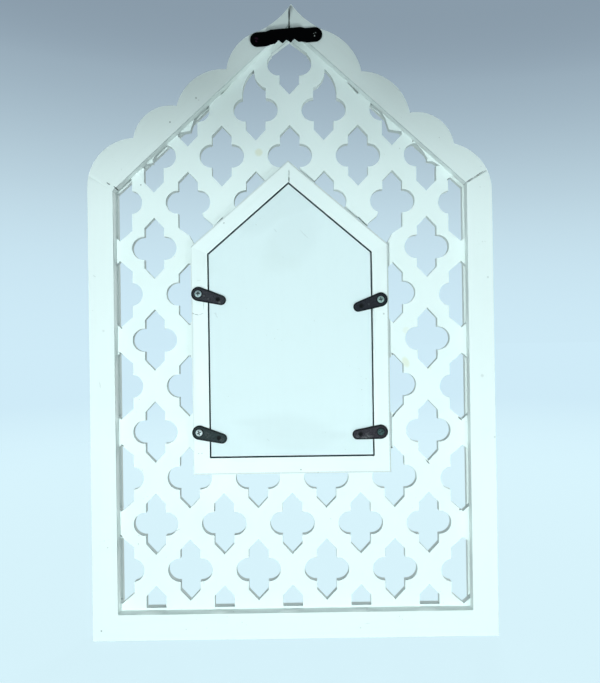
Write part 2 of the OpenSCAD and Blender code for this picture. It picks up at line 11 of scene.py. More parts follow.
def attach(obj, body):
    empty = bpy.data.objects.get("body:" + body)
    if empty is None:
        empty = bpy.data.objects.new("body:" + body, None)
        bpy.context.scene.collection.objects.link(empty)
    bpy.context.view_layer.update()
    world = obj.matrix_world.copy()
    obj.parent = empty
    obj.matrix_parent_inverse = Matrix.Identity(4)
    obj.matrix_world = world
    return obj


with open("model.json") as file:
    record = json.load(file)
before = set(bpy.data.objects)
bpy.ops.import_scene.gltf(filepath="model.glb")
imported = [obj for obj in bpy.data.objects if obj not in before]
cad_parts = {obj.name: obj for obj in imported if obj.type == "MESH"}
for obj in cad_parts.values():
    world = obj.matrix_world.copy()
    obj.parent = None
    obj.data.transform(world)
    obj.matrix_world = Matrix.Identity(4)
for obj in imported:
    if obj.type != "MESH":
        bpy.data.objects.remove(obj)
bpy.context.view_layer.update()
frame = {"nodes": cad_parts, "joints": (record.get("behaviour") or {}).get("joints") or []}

# The mirror's back faces +Y, and the left of the picture is +X. Places are in metres, marks in millimetres.

X, Y, Z = 0, 1, 2
MM = 0.001
BACK = 10 * MM  # the back face of both frames
LATTICE_BACK = 1 * MM


def add_to_scene(name, data):
    made = bpy.data.objects.new(name, data)
    bpy.context.scene.collection.objects.link(made)
    return made


# Camera: straight at the back of the mirror, half a metre away

CAMERA_SPOT = Vector((-0.0072, 0.5155, 0.25774))
CAMERA_TILT = math.radians(0.2275)
CAMERA_ROLL = math.radians(-0.822)
CAMERA_LENS = 30.4
CAMERA_SENSOR = 36
NEAREST, FARTHEST = 0.01, 100
FACING_THE_BACK = Matrix(((-1, 0, 0), (0, 0, 1), (0, 1, 0)))


def add_camera():
    data = bpy.data.cameras.new("camera")
    data.lens = CAMERA_LENS
    data.sensor_width = CAMERA_SENSOR
    data.sensor_fit = "AUTO"
    data.clip_start = NEAREST
    data.clip_end = FARTHEST
    camera = add_to_scene("camera", data)
    turn = FACING_THE_BACK @ Matrix.Rotation(CAMERA_TILT, 3, "X") @ Matrix.Rotation(CAMERA_ROLL, 3, "Z")
    camera.matrix_world = Matrix.Translation(CAMERA_SPOT) @ turn.to_4x4()
    return camera


bpy.context.scene.camera = add_camera()
bpy.context.scene.view_settings.view_transform = "Standard"


# Node helpers

MARK_CORE = 0.45  # the share of a mark's size that has its full strength


def new_material(name):
    material = bpy.data.materials.new(name)
    material.use_nodes = True
    material.node_tree.nodes.clear()
    return material, Nodes(material.node_tree)


class Nodes:
    """Short calls that add nodes to one node tree and link them."""

    def __init__(self, tree):
        self.tree = tree

    def add(self, kind, inputs=None, **settings):
        made = self.tree.nodes.new(kind)
        for key, value in settings.items():
            setattr(made, key, value)
        for key, value in (inputs or {}).items():
            self.feed(made.inputs[key], value)
        return made

    def feed(self, socket, value):
        if isinstance(value, bpy.types.NodeSocket):
            self.tree.links.new(value, socket)
        else:
            socket.default_value = value

    def place(self):
        return self.add("ShaderNodeTexCoord").outputs["Object"]

    def normal(self):
        return self.add("ShaderNodeNewGeometry").outputs["Normal"]

    def component(self, vector, axis):
        return self.add("ShaderNodeSeparateXYZ", {0: vector}).outputs[axis]

    def mapped(self, vector, scale=(1, 1, 1), turn=(0, 0, 0)):
        inputs = {"Vector": vector, "Scale": scale, "Rotation": turn}
        return self.add("ShaderNodeMapping", inputs).outputs[0]

    def noise(self, vector, scale, detail=2.0, rough=0.5, output="Fac"):
        inputs = {"Vector": vector, "Scale": scale, "Detail": detail, "Roughness": rough}
        return self.add("ShaderNodeTexNoise", inputs).outputs[output]

    def math(self, operation, a, b=0.0, clamp=False):
        return self.add("ShaderNodeMath", {0: a, 1: b}, operation=operation, use_clamp=clamp).outputs[0]

    def vector(self, operation, a, b=(0, 0, 0)):
        made = self.add("ShaderNodeVectorMath", {0: a, 1: b}, operation=operation)
        return made.outputs["Value" if operation in ("LENGTH", "DOT_PRODUCT") else "Vector"]

    def ramp(self, value, low, high, out_low=0.0, out_high=1.0):
        """Goes softly from out_low to out_high while the value goes from low to high."""
        inputs = {"Value": value, "From Min": low, "From Max": high, "To Min": out_low, "To Max": out_high}
        return self.add("ShaderNodeMapRange", inputs, interpolation_type="SMOOTHSTEP").outputs[0]

    def between(self, share, a, b):
        """A number: a where the share is 0, and b where it is 1."""
        return self.add("ShaderNodeMix", {0: share, 2: a, 3: b}).outputs[0]

    def mix(self, share, a, b, blend="MIX"):
        """A colour: a where the share is 0, and b, or b blended with a, where it is 1."""
        made = self.add("ShaderNodeMix", {0: share, 6: a, 7: b}, data_type="RGBA", blend_type=blend)
        return made.outputs[2]

    def varied(self, noise, low, high):
        """A value that goes with a noise from low to high."""
        return self.ramp(noise, 0.3, 0.7, low, high)

    def bump(self, height, strength, distance):
        inputs = {"Height": height, "Strength": strength, "Distance": distance}
        return self.add("ShaderNodeBump", inputs).outputs[0]

    def marks(self, place, marks):
        """How far a point lies inside any of the small marks on the back, from 0 to 1."""
        total = None
        for x, z, long, wide, angle, strength in marks:
            inside = self.vector("SUBTRACT", place, (x * MM, 0, z * MM))
            inside = self.mapped(inside, turn=(0, math.radians(angle), 0))
            inside = self.vector("MULTIPLY", inside, (1 / (long * MM), 0, 1 / (wide * MM)))
            depth = self.ramp(self.vector("LENGTH", inside), 1.0, MARK_CORE, 0.0, strength)
            total = depth if total is None else self.math("MAXIMUM", total, depth)
        return total

    def finish(self, inputs):
        shader = self.add("ShaderNodeBsdfPrincipled", inputs)
        self.add("ShaderNodeOutputMaterial", {"Surface": shader.outputs[0]})


def rgb(r, g, b):
    return (r, g, b, 1.0)


def toned(color, share):
    return rgb(*(c * share for c in color))


# Marks on the back, in millimetres: middle, half length, half width, then angle and strength


def dot(x, z, size, strength):
    return (x, z, size, size, 0.0, strength)


def stroke(start, end, wide, strength):
    dx, dz = end[0] - start[0], end[1] - start[1]
    angle = math.degrees(math.atan2(dz, dx))
    return ((start[0] + end[0]) / 2, (start[1] + end[1]) / 2, math.hypot(dx, dz) / 2, wide, angle, strength)


RIGHT_SHOULDER_SEAM = [
    stroke((-153.6, 396.4), (-163.0, 402.4), 0.6, 0.9),
    stroke((-159.0, 399.8), (-172.4, 408.3), 0.55, 0.75),
]
LEFT_SHOULDER_SPOTS = [
    stroke((161.0, 402.0), (156.8, 399.2), 0.6, 0.95),
    stroke((154.8, 398.6), (150.6, 395.0), 0.75, 0.95),
]
TIP_SEAM = [
    stroke((-1.75, 555.0), (-1.6, 538.0), 0.95, 1.0),
    stroke((-1.65, 547.0), (-1.5, 528.0), 0.95, 1.0),
]
STILE_MARKS = [
    dot(170.1, 9.0, 0.9, 0.6),
    dot(165.0, 271.5, 1.4, 0.13),
    stroke((174.0, 321.0), (170.5, 318.5), 0.6, 0.16),
    stroke((168.9, 228.0), (168.2, 220.5), 0.35, 0.3),
    dot(-166.5, 227.6, 1.8, 0.16),
    dot(-176.5, 173.6, 1.2, 0.2),
    dot(-172.8, 313.9, 1.2, 0.22),
]
LEFT_ARCH_MARKS = [dot(81.0, 474.8, 1.0, 0.45), dot(78.6, 472.9, 0.6, 0.4), dot(104.1, 454.0, 0.9, 0.6)]
RIGHT_ARCH_MARKS = [dot(-105.1, 471.3, 1.1, 0.6), dot(-132.0, 437.0, 0.6, 0.3)]
RAIL_MARKS = [dot(96.0, 9.5, 0.7, 0.25), stroke((-60.0, 12.0), (-66.0, 12.6), 0.4, 0.15)]

HALF_HOLE_TIPS = [
    stroke((153.8, 333.8), (148.6, 329.2), 1.1, 0.95),
    stroke((153.2, 275.4), (151.0, 273.4), 0.8, 0.8),
    stroke((154.9, 253.2), (150.2, 248.6), 0.95, 0.95),
    stroke((153.8, 170.3), (151.2, 168.2), 0.9, 0.85),
    stroke((156.2, 90.2), (153.0, 87.4), 0.9, 0.8),
    stroke((89.3, 331.0), (92.1, 328.6), 0.8, 0.75),
    stroke((90.0, 275.9), (92.2, 277.8), 0.7, 0.7),
    stroke((90.0, 249.0), (92.4, 246.7), 0.8, 0.6),
    stroke((-88.0, 248.8), (-93.0, 244.2), 1.1, 0.95),
    stroke((-88.0, 190.6), (-92.0, 196.2), 1.0, 0.9),
    stroke((-86.0, 165.8), (-91.8, 160.0), 1.1, 0.95),
    stroke((-87.2, 141.6), (-88.8, 144.4), 0.7, 0.7),
    stroke((-151.2, 187.1), (-146.6, 191.2), 0.95, 0.8),
    stroke((-153.3, 351.4), (-150.0, 348.6), 0.85, 0.8),
    stroke((-143.4, 404.1), (-140.4, 401.8), 0.85, 0.85),
    stroke((-111.6, 438.6), (-109.8, 436.4), 0.8, 0.75),
    stroke((-149.4, 109.7), (-146.6, 107.2), 0.85, 0.8),
]
LATTICE_MARKS = HALF_HOLE_TIPS + [
    stroke((-117.2, 153.6), (-121.5, 148.5), 0.6, 0.9),
    stroke((113.7, 89.1), (100.3, 95.1), 0.35, 0.4),
    dot(132.9, 401.7, 0.8, 0.55),
    dot(116.1, 411.1, 0.8, 0.5),
    dot(112.0, 337.0, 0.6, 0.35),
]
LATTICE_STAINS = [
    dot(27.2, 429.2, 4.5, 0.45),
    stroke((-98.5, 246.0), (-104.0, 234.0), 4.0, 0.42),
    stroke((-120.0, 243.0), (-123.5, 232.0), 3.0, 0.25),
    dot(-102.0, 268.5, 4.0, 0.18),
]

# Painted shade: grey lines along the mirror frame's outer edges: right, bottom, left, and the left and right
# slopes

MIRROR_FRAME_EDGE_SHADE = [
    stroke((-85.0, 60.0), (-85.0, 430.0), 1.2, 0.4),
    stroke((-180.0, 144.8), (180.0, 144.8), 1.0, 0.26),
    stroke((87.2, 60.0), (87.2, 430.0), 0.9, 0.12),
    stroke((63.7, 472.0), (-150.0, 288.2), 1.1, 0.34),
    stroke((-61.7, 472.0), (152.0, 288.2), 0.9, 0.26),
]
MIRROR_FRAME_MARKS_AND_SHADE = MIRROR_FRAME_EDGE_SHADE + [
    stroke((0.3, 411.5), (0.4, 403.5), 0.5, 0.7),
    stroke((0.4, 405.6), (0.5, 398.4), 0.7, 0.95),
    stroke((87.6, 286.6), (84.4, 284.6), 0.45, 0.62),
    stroke((85.4, 284.9), (81.0, 284.2), 0.45, 0.55),
    stroke((82.0, 284.3), (76.4, 285.8), 0.35, 0.35),
    stroke((76.9, 299.5), (76.6, 287.0), 0.35, 0.4),
    stroke((82.9, 314.4), (78.6, 314.8), 0.3, 0.2),
    dot(58.0, 364.6, 0.9, 0.4),
    dot(-6.4, 147.5, 0.8, 0.6),
    dot(-21.3, 145.0, 0.7, 0.5),
    stroke((83.6, 163.0), (82.2, 163.0), 0.5, 0.45),
    stroke((80.8, 163.0), (79.2, 163.0), 0.5, 0.4),
    dot(-81.0, 283.0, 1.1, 0.3),
]
# Soft grey patches on the board
BOARD_GREY_PATCHES = [
    stroke((62.0, 190.0), (-34.0, 186.0), 7.0, 0.045),
    stroke((44.0, 181.0), (-60.0, 176.0), 8.0, 0.05),
    stroke((56.0, 186.0), (-50.0, 172.0), 22.0, 0.045),
    stroke((52.0, 352.0), (-6.0, 396.0), 20.0, 0.045),
    stroke((34.0, 372.0), (-36.0, 392.0), 18.0, 0.04),
    stroke((22.0, 318.0), (-26.0, 382.0), 26.0, 0.035),
]
BOARD_MARKS = BOARD_GREY_PATCHES + [
    stroke((14.5, 359.5), (11.5, 355.5), 0.5, 0.16),
    stroke((-6.9, 359.3), (-17.2, 348.6), 0.5, 0.16),
    stroke((23.6, 175.4), (20.2, 172.6), 0.5, 0.16),
    stroke((67.0, 286.6), (65.6, 283.0), 0.7, 0.14),
    stroke((66.4, 284.0), (64.6, 281.4), 0.4, 0.2),
    stroke((-69.6, 339.6), (-71.9, 332.8), 1.1, 0.85),
]


# Painted shade on each wall: how much of the paint's brightness is left there


class PaintedWallShade(NamedTuple):
    """Painted shade on a wall: the shares of the paint's brightness left on each part of it."""

    rim: float = 1.0  # beside the back edge
    deep: float = 1.0  # down to the lattice
    below: float = 1.0  # under the lattice's back
    outside: float = 1.0  # facing away from the middle
    lit: float | None = None  # facing the light, where that differs


MIDDLE = (0.0, 0.0, 220 * MM)  # a wall that faces away from here is an outer one
LIGHT_SIDE = (0.64, 0.0, -0.77)  # walls drawn lighter, as painted light, face down and to the left of the picture
FACES_BACK, FACES_ASIDE = 0.97, 0.4  # how far a flat face and a wall look back
RIM_LOW, RIM_HIGH = BACK - 2.8 * MM, BACK - 0.6 * MM
BELOW_HIGH, BELOW_LOW = LATTICE_BACK - 0.4 * MM, LATTICE_BACK - 1.4 * MM
LIT_LOW, LIT_HIGH = LATTICE_BACK - 1.0 * MM, LATTICE_BACK - 0.3 * MM
LIT_EDGE = 0.6  # a lit wall's share beside its edge
TURN_TO_LIGHT = 0.4  # how far a wall may turn from the light's side and still take some of the painted light
OUTWARD = 0.01  # how much a wall has to face away from the middle


def painted_wall_shade(n, place, wall_shade):
    """The paint's brightness left at each place by painted shade and light on a wall, and how much of a wall
    the place is.
    """
    facing = n.normal()
    on_wall = n.ramp(n.math("ABSOLUTE", n.component(facing, Y)), FACES_BACK, FACES_ASIDE)
    depth = n.component(place, Y)
    tone = n.ramp(depth, RIM_LOW, RIM_HIGH, wall_shade.deep, wall_shade.rim)
    tone = n.between(n.ramp(depth, BELOW_HIGH, BELOW_LOW), tone, wall_shade.below)
    if wall_shade.lit is not None:
        to_light = n.ramp(n.vector("DOT_PRODUCT", facing, LIGHT_SIDE), -TURN_TO_LIGHT, TURN_TO_LIGHT)
        lit_tone = n.ramp(depth, LIT_LOW, LIT_HIGH, wall_shade.lit, LIT_EDGE * wall_shade.lit)
        tone = n.between(to_light, tone, lit_tone)
    outward = n.vector("DOT_PRODUCT", facing, n.vector("SUBTRACT", place, MIDDLE))
    tone = n.between(n.ramp(outward, 0.0, OUTWARD), tone, wall_shade.outside)
    return n.between(on_wall, 1.0, tone), on_wall


# Painted wood. How fine its patterns are, in waves per metre

BRUSH_LINES = (260, 260, 16)  # across, across and along the grain
CLOUDS = 26.0
SPECKS = 520.0
SPECK_AREAS = 41.0
ORANGE_PEEL = 900.0
FINE_GRAIN = 3200.0
RAGGED_EDGES = 900.0

# How strong they are, and how much each adds to the relief

DIRT_SHARE, DIRT_TINT = 0.35, (0.95, 0.955, 0.93)
BRUSH_SHARE, BRUSH_TINT = 0.16, 0.93
SPECK_SHARE = 0.55
PEEL_RELIEF, BRUSH_RELIEF, FINE_RELIEF = 0.5, 0.9, 0.12

EDGE_WANDER = 0.9 * MM  # how far the edges of marks wander
BACK_ONLY_LOW, BACK_ONLY_HIGH = LATTICE_BACK - 1.0 * MM, LATTICE_BACK - 0.2 * MM
PAINT_RELIEF = 0.2 * MM

SPECK_GREY = rgb(0.42, 0.45, 0.40)
STAIN_YELLOW = rgb(0.80, 0.76, 0.50)
# Marks are drawn in this black, and so are the painted shade lines along the mirror frame's edges
MARK_AND_SHADE_BLACK = rgb(0.045, 0.055, 0.05)
WALL_SHADOW = rgb(0.0, 0.04, 0.07)
FULL_WHITE = rgb(1.0, 1.0, 1.0)


def brushed(n, place, base, grain_turn, grain):
    """The paint's colour with soft dirt, faint brush lines along the grain and sparse specks."""
    along = n.mapped(place, turn=(0, grain_turn, 0))
    streaks = n.noise(n.mapped(along, scale=BRUSH_LINES), 1.0, 3.0, 0.6)
    cloud = n.noise(place, CLOUDS, 4.0, 0.55)
    dirt = n.math("MULTIPLY", n.ramp(cloud, 0.5, 0.78), DIRT_SHARE)
    shade = n.mix(dirt, rgb(*base), rgb(*(c * t for c, t in zip(base, DIRT_TINT))))
    shade = n.mix(n.ramp(streaks, 0.42, 0.75, 0.0, BRUSH_SHARE * grain), shade, toned(base, BRUSH_TINT))
    specks = n.ramp(n.noise(place, SPECKS, 1.0, 0.4), 0.72, 0.78)
    sparse = n.ramp(n.noise(place, SPECK_AREAS, 1.0, 0.5), 0.6, 0.7)
    speckle = n.math("MULTIPLY", n.math("MULTIPLY", specks, sparse), SPECK_SHARE)
    return n.mix(speckle, shade, SPECK_GREY), streaks, cloud


def ragged(n, place):
    """The place, moved a little to and fro, so that marks get uneven edges."""
    wobble = n.vector("SUBTRACT", n.noise(place, RAGGED_EDGES, output="Color"), (0.5, 0.5, 0.5))
    return n.vector("ADD", place, n.vector("MULTIPLY", wobble, (EDGE_WANDER, EDGE_WANDER, EDGE_WANDER)))


def painted(
    name, base, grain_turn=0.0, marks=(), stains=(), wall_shade=PaintedWallShade(), rough=0.46, grain=1.0, shine=0.35
):
    """White paint over wood, with brush lines, orange peel, dirt, stains, marks, and painted shade on each
    wall and along some edges.
    """
    material, n = new_material(name)
    place = n.place()
    shade, streaks, cloud = brushed(n, place, base, grain_turn, grain)
    uneven = ragged(n, place)
    back_only = n.ramp(n.component(place, Y), BACK_ONLY_LOW, BACK_ONLY_HIGH)
    # Stains, then marks and painted shade lines, on the back only
    for spots, color in ((stains, STAIN_YELLOW), (marks, MARK_AND_SHADE_BLACK)):
        if spots:
            shade = n.mix(n.math("MULTIPLY", n.marks(uneven, spots), back_only), shade, color)
    # Painted shade: each wall is drawn darker by the shares in wall_shade
    tone, on_wall = painted_wall_shade(n, place, wall_shade)
    shade = n.mix(1.0, shade, n.mix(tone, WALL_SHADOW, FULL_WHITE), "MULTIPLY")
    peel = n.noise(place, ORANGE_PEEL, 2.0, 0.5)
    fine = n.noise(place, FINE_GRAIN, 1.0, 0.5)
    brush_relief = n.math("MULTIPLY", streaks, BRUSH_RELIEF * grain)
    height = n.math("ADD", n.math("MULTIPLY", peel, PEEL_RELIEF), brush_relief)
    height = n.math("ADD", height, n.math("MULTIPLY", fine, FINE_RELIEF))
    n.finish({
        "Base Color": shade,
        "Roughness": n.ramp(cloud, 0.3, 0.75, rough - 0.05, rough + 0.1),
        "Specular IOR Level": n.ramp(on_wall, 0.1, 0.9, shine, 0.0),
        "Normal": n.bump(height, 0.22, PAINT_RELIEF),
    })
    return material


# Slightly rounded edges, but sharp ones where two members meet in a mitre

SEAM_REACH = 0.4 * MM  # edges of two members this close together meet in a mitre
SAME_SPOT = 0.02 * MM
WELD_REACH = 0.01 * MM
SHARPEST = math.radians(30)  # edges that turn less than this stay as they are
BEVEL_STEPS = 2
FLAT_WEIGHT = 80  # how strongly large faces keep their flat shading

EDGE = 0.2 * MM
LATTICE_EDGE = 0.6 * MM
BUTTON_EDGE = 0.25 * MM
SCREW_EDGE = 0.08 * MM
SCREW_SHARPEST = math.radians(25)
HANGER_EDGE = 0.15 * MM


def edge_middle(mesh, pair):
    return (mesh.vertices[pair[0]].co + mesh.vertices[pair[1]].co) / 2


def spot_key(spot):
    """A place, rounded so that the same edge of two faces gives one key."""
    return tuple(round(c / SAME_SPOT) for c in spot)


def edge_tree(name):
    """The middles of a node's edges, to find the nearest one."""
    mesh = frame["nodes"][name].data
    tree = KDTree(len(mesh.edges))
    for edge in mesh.edges:
        tree.insert(edge_middle(mesh, edge.vertices), edge.index)
    tree.balance()
    return tree


def weigh_edges(mesh, sharpest, neighbours):
    """Gives each sharp edge the full bevel weight, but not at a seam, where paint bridges two members."""
    faces = {}
    for face in mesh.polygons:
        for pair in face.edge_keys:
            faces.setdefault(spot_key(edge_middle(mesh, pair)), []).append(face.normal.copy())
    weights = mesh.attributes.new("bevel_weight_edge", "FLOAT", "EDGE")
    for edge in mesh.edges:
        middle = edge_middle(mesh, edge.vertices)
        sides = faces[spot_key(middle)]
        sharp = len(sides) == 2 and sides[0].angle(sides[1], 0.0) > sharpest
        seam = any(tree.find(middle)[2] < SEAM_REACH for tree in neighbours)
        weights.data[edge.index].value = float(sharp and not seam)


def round_edges(node, width, sharpest, neighbours):
    """Welds a node, bevels its sharp edges and keeps its large faces flat."""
    mesh = node.data
    if "custom_normal" in mesh.attributes:
        mesh.attributes.remove(mesh.attributes["custom_normal"])
    mesh.polygons.foreach_set("use_smooth", [True] * len(mesh.polygons))
    weld = node.modifiers.new("weld", "WELD")
    weld.merge_threshold = WELD_REACH
    soft = node.modifiers.new("bevel", "BEVEL")
    soft.width = width
    soft.segments = BEVEL_STEPS
    if neighbours:
        weigh_edges(mesh, sharpest, neighbours)
        soft.limit_method = "WEIGHT"
    else:
        soft.limit_method = "ANGLE"
        soft.angle_limit = sharpest
    flat = node.modifiers.new("flat_faces", "WEIGHTED_NORMAL")
    flat.mode = "FACE_AREA"
    flat.weight = FLAT_WEIGHT


def dress(names, material, edge=0.0, sharpest=SHARPEST, neighbours=()):
    """Gives nodes a material and, where asked, slightly rounded edges."""
    for name in names:
        node = frame["nodes"][name]
        node.data.materials.clear()
        node.data.materials.append(material)
        if edge:
            round_edges(node, edge, sharpest, neighbours)


# The two frames, the lattice and the board

FRAME_WHITE = (0.93, 0.975, 0.955)
LATTICE_WHITE = (0.93, 0.985, 0.965)
INNER_WHITE = (0.93, 0.98, 0.965)
BOARD_WHITE = (0.845, 0.93, 0.945)

UPRIGHT = 0.0
LEVEL = math.radians(90)
ARCH_SLOPE = math.radians(42.5)
INNER_SLOPE = math.radians(40.7)

# Painted shade on the sides of the lattice's holes, in the mirror frame's recess and in the gap around the
# board; the lattice's sides that face the light stay lighter
LATTICE_WALL_SHADE = PaintedWallShade(rim=0.42, deep=0.42, below=0.75, outside=0.42, lit=0.92)
RECESS_WALL_SHADE = PaintedWallShade(rim=0.12, deep=0.12, below=0.5, outside=0.8)
BOARD_WALL_SHADE = PaintedWallShade(rim=0.15, deep=0.15, below=0.5, outside=0.15)

# Each member: how far its grain is turned, its marks and the painted shade on its sides

OUTER_FRAME = {
    "left_stile": (UPRIGHT, STILE_MARKS + LEFT_SHOULDER_SPOTS, PaintedWallShade(rim=0.78, below=0.9)),
    "right_stile": (UPRIGHT, STILE_MARKS + RIGHT_SHOULDER_SEAM, PaintedWallShade(rim=0.88, below=0.9)),
    "bottom_rail": (LEVEL, RAIL_MARKS, PaintedWallShade(rim=1.0, below=0.9)),
    "left_arch_rail": (
        LEVEL - ARCH_SLOPE, LEFT_ARCH_MARKS + LEFT_SHOULDER_SPOTS + TIP_SEAM, PaintedWallShade(rim=0.68, below=0.85)),
    "right_arch_rail": (
        LEVEL + ARCH_SLOPE, RIGHT_ARCH_MARKS + RIGHT_SHOULDER_SEAM + TIP_SEAM, PaintedWallShade(rim=0.72, below=0.85)),
}
MIRROR_FRAME_GRAIN = {
    "mirror_left_stile": UPRIGHT,
    "mirror_right_stile": UPRIGHT,
    "mirror_sill": LEVEL,
    "mirror_left_rafter": LEVEL - INNER_SLOPE,
    "mirror_right_rafter": LEVEL + INNER_SLOPE,
}
MIRROR_FRAME = {name: (turn, MIRROR_FRAME_MARKS_AND_SHADE, RECESS_WALL_SHADE) for name, turn in MIRROR_FRAME_GRAIN.items()}


def dress_frame(members, white):
    """Paints the members of one frame. Their edges stay sharp at the mitres."""
    edges = {name: edge_tree(name) for name in members}
    for name, (grain_turn, marks, wall_shade) in members.items():
        paint = painted(name + "_paint", white, grain_turn, marks, wall_shade=wall_shade)
        dress([name], paint, EDGE, neighbours=[edges[other] for other in members if other != name])


dress_frame(OUTER_FRAME, FRAME_WHITE)
dress_frame(MIRROR_FRAME, INNER_WHITE)

lattice_paint = painted(
    "lattice_paint", LATTICE_WHITE, UPRIGHT, LATTICE_MARKS, LATTICE_STAINS, LATTICE_WALL_SHADE, grain=0.4)
dress(["jali_panel"], lattice_paint, LATTICE_EDGE)

board_paint = painted(
    "board_paint", BOARD_WHITE, UPRIGHT, BOARD_MARKS, wall_shade=BOARD_WALL_SHADE, rough=0.62, grain=0.5, shine=0.08)
dress(["backing_board"], board_paint, EDGE)


# Paint that bridges the mitres whose seams don't show

OUTER_BRIDGES = [
    ("left_stile", "left_arch_rail"),
    ("left_stile", "bottom_rail"),
    ("right_stile", "bottom_rail"),
]
INNER_BRIDGES = [
    ("mirror_left_stile", "mirror_left_rafter"),
    ("mirror_right_stile", "mirror_right_rafter"),
    ("mirror_left_stile", "mirror_sill"),
    ("mirror_right_stile", "mirror_sill"),
    ("mirror_left_rafter", "mirror_right_rafter"),
]
BRIDGED = {
    "outer_seam_paint": (FRAME_WHITE, LEFT_SHOULDER_SPOTS + STILE_MARKS, OUTER_BRIDGES),
    "inner_seam_paint": (INNER_WHITE, MIRROR_FRAME_MARKS_AND_SHADE, INNER_BRIDGES),
}
BRIDGE_DEEP = 3 * MM
BRIDGE_SUNK = 0.01 * MM


def back_corners(name):
    """The corners of a member's back face."""
    spots = [vertex.co.copy() for vertex in frame["nodes"][name].data.vertices]
    back = max(spot.y for spot in spots)
    return [spot for spot in spots if back - spot.y < SAME_SPOT]


def bridge(name, first, second, material):
    """A strip of paint in the mitre between two members, level with their backs."""
    across = back_corners(second)
    ends = []
    for spot in back_corners(first):
        other = min(across, key=lambda corner: (corner - spot).length)
        if (other - spot).length < SEAM_REACH:
            ends.append((spot, other))
    near, far = max(((a, b) for a in ends for b in ends), key=lambda pair: (pair[0][0] - pair[1][0]).length)
    outline = [near[0], near[1], far[1], far[0]]
    top = [spot - Vector((0, BRIDGE_SUNK, 0)) for spot in outline]
    bottom = [spot - Vector((0, BRIDGE_DEEP, 0)) for spot in outline]
    sides = [(i, (i + 1) % 4, 4 + (i + 1) % 4, 4 + i) for i in range(4)]
    mesh = bpy.data.meshes.new(name)
    mesh.from_pydata(top + bottom, [], [(3, 2, 1, 0), (4, 5, 6, 7)] + sides)
    shape = bmesh.new()
    shape.from_mesh(mesh)
    bmesh.ops.recalc_face_normals(shape, faces=shape.faces)
    shape.to_mesh(mesh)
    shape.free()
    mesh.materials.append(material)
    strip = add_to_scene(name, mesh)
    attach(strip, "root")


for name, (white, marks, mitres) in BRIDGED.items():
    seam_paint = painted(name, white, UPRIGHT, marks)
    for number, (first, second) in enumerate(mitres, 1):
        bridge(f"{name}_{number}", first, second, seam_paint)


# Turn buttons and their screws, each screw at its joint

SCREW_SPOTS = {
    joint["name"].removesuffix("_swivel"): (joint["pos_m"][X], 0, joint["pos_m"][Z])
    for joint in frame["joints"]
}

# The buttons' shape in millimetres: the radii of the ends, and places measured from the screw

BIG_END, SMALL_END = 6.2, 4.3
SMALL_END_AT = 20.6
DENT_AT = 17.8
DENT_OUTER, DENT_INNER = 2.7, 1.2
RING_OUTER, RING_INNER, RING_SHARE = 4.3, 3.3, 0.85  # the dark ring under the screw
RIM_STARTS, RIM_FULL = 0.66, 0.92  # the dark rim, in shares of the half width

INK = rgb(0.0035, 0.006, 0.007)
DENT_SHADE_BLACK = rgb(0.001, 0.0015, 0.0015)
SCUFFED = rgb(0.16, 0.16, 0.16)
DARK_TINT, LIGHT_TINT = 0.55, 1.25
RIM_WEAR = 0.5  # how uneven the rim's inner edge is
METAL_RELIEF = 0.1 * MM
LACQUER_GRAIN = 700.0
LACQUER_PEEL = 1500.0
METAL_GRAIN = 1400.0

# Each button: its angle, the tone of its middle, and its scuffs, placed along and across it from the screw

BUTTONS = {
    "upper_left": (196.0, (0.040, 0.038, 0.046), [
        dot(5.0, 0.4, 1.3, 0.5),
        stroke((8.5, 1.2), (10.5, 2.2), 0.9, 0.35),
        dot(19.8, 2.0, 1.7, 0.8),
    ]),
    "upper_right": (-17.5, (0.021, 0.021, 0.028), [
        dot(11.0, -1.0, 1.5, 0.2),
        dot(-4.4, 0.0, 1.0, 0.3),
    ]),
    "lower_left": (195.5, (0.030, 0.044, 0.045), [
        dot(8.0, 0.5, 3.0, 0.25),
        dot(20.4, 0.8, 2.6, 0.45),
        dot(6.0, -1.6, 1.2, 0.3),
    ]),
    "lower_right": (-6.0, (0.042, 0.035, 0.044), [
        stroke((6.0, -3.2), (19.5, -2.9), 2.0, 0.75),
        dot(20.5, -1.5, 1.9, 0.7),
        dot(12.0, -1.0, 2.6, 0.4),
    ]),
}

# Each screw: the tone of its head, and the painted shade strokes in its recess, placed from its middle

SCREWS = {
    "upper_left": ((0.45, 0.53, 0.53), [
        stroke((-1.6, -1.2), (-0.2, 2.6), 0.6, 0.9),
        dot(0.3, 0.4, 1.3, 0.8),
    ]),
    "upper_right": ((0.36, 0.46, 0.43), [
        dot(0.3, 0.1, 1.5, 0.45),
        stroke((1.2, 1.2), (-1.4, -0.9), 0.5, 0.5),
    ]),
    "lower_left": ((0.74, 0.78, 0.76), [
        stroke((0.2, 2.9), (-0.3, -2.9), 0.75, 0.95),
    ]),
    "lower_right": ((0.06, 0.105, 0.10), [
        stroke((2.5, -2.2), (-2.5, 2.2), 0.6, 0.95),
        stroke((-0.6, -2.6), (-2.4, -0.6), 0.5, 0.9),
        stroke((2.2, 0.4), (0.6, 2.2), 0.5, 0.85),
    ]),
}
HEAD_OUTER, HEAD_INNER = 4.2 * MM, 4.0 * MM
RECESS_TOP, RECESS_FLOOR = 12.85 * MM, 12.7 * MM
HEAD_DOMED, HEAD_FLAT = 0.93, 0.99  # how far the dome and the recess's floor look back
SIDE_STARTS, SIDE_FULL = 0.45, 0.2  # and the head's side, which gets painted shade
BARE_ZINC = rgb(0.5, 0.55, 0.54)
DULL_SHARE, DULL_ZINC = 0.6, rgb(0.6, 0.62, 0.62)
SCREW_SHADE_SHARE, SCREW_SHADE_BLACK = 0.93, rgb(0.012, 0.02, 0.022)


